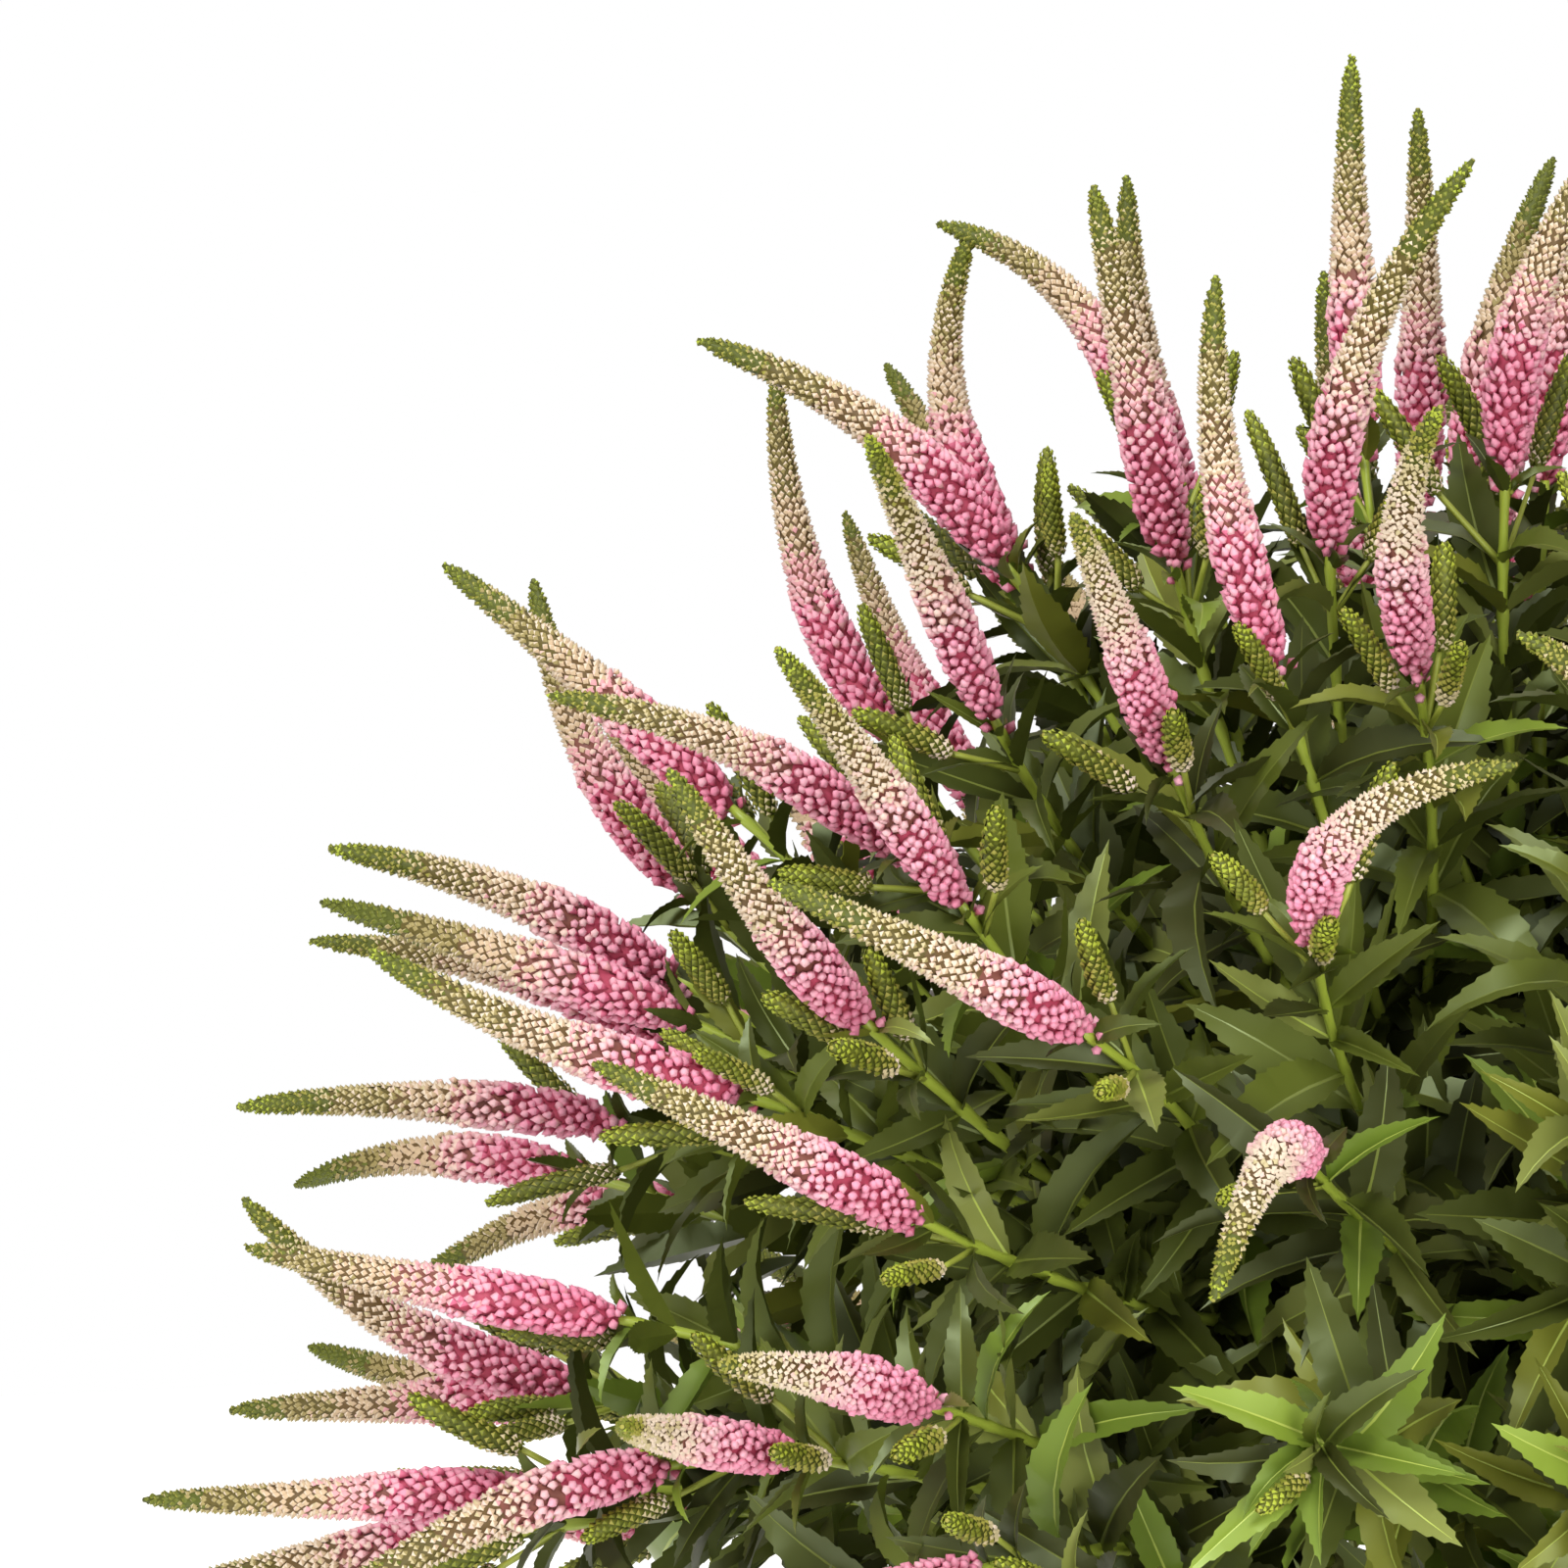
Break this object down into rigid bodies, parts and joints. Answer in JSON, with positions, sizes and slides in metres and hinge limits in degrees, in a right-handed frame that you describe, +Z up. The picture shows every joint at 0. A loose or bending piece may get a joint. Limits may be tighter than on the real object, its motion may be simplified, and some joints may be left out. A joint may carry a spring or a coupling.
{
  "type": "potted pink speedwell (hebe) shrub",
  "caption": "Round bush of pink flower spikes over dark toothed leaves, its stems fanning from one short woody foot in a plain round pot.",
  "frame": {"origin": "middle of the pot's flat underside, on the surface it stands on", "axes": "+Z up through the middle of the crown; -Y towards the pictured side, where the shoots end in leaves; +X to its right"},
  "size_m": [0.7264, 0.7137, 0.6052],
  "materials": {
    "cream_glaze": "gloss",
    "compost": "matte",
    "bark": "matte",
    "green_stem": "satin",
    "foliage": "satin",
    "bloom": "satin"
  },
  "bodies": {
    "root": {"pot": "cream_glaze", "compost": "compost", "trunk": "bark", "bough_01": "green_stem", "bough_02": "green_stem", "bough_03": "green_stem", "bough_04": "green_stem", "bough_05": "green_stem", "bough_06": "green_stem", "bough_07": "green_stem", "bough_08": "green_stem", "bough_09": "green_stem", "bough_10": "green_stem", "bough_11": "green_stem", "bough_12": "green_stem", "bough_13": "green_stem", "bough_14": "green_stem", "bough_15": "green_stem", "bough_16": "green_stem", "bough_17": "green_stem", "bough_18": "green_stem", "bough_19": "green_stem", "bough_20": "green_stem", "bough_21": "green_stem", "bough_22": "green_stem", "bough_23": "green_stem", "bough_24": "green_stem", "foliage_01": "foliage", "foliage_02": "foliage", "foliage_03": "foliage", "foliage_04": "foliage", "foliage_05": "foliage", "foliage_06": "foliage", "foliage_07": "foliage", "foliage_08": "foliage", "foliage_09": "foliage", "foliage_10": "foliage", "foliage_11": "foliage", "foliage_12": "foliage", "foliage_13": "foliage", "foliage_14": "foliage", "foliage_15": "foliage", "foliage_16": "foliage", "foliage_17": "foliage", "foliage_18": "foliage", "foliage_19": "foliage", "foliage_20": "foliage", "foliage_21": "foliage", "foliage_22": "foliage", "foliage_23": "foliage", "foliage_24": "foliage"}
  },
  "joints": []
}
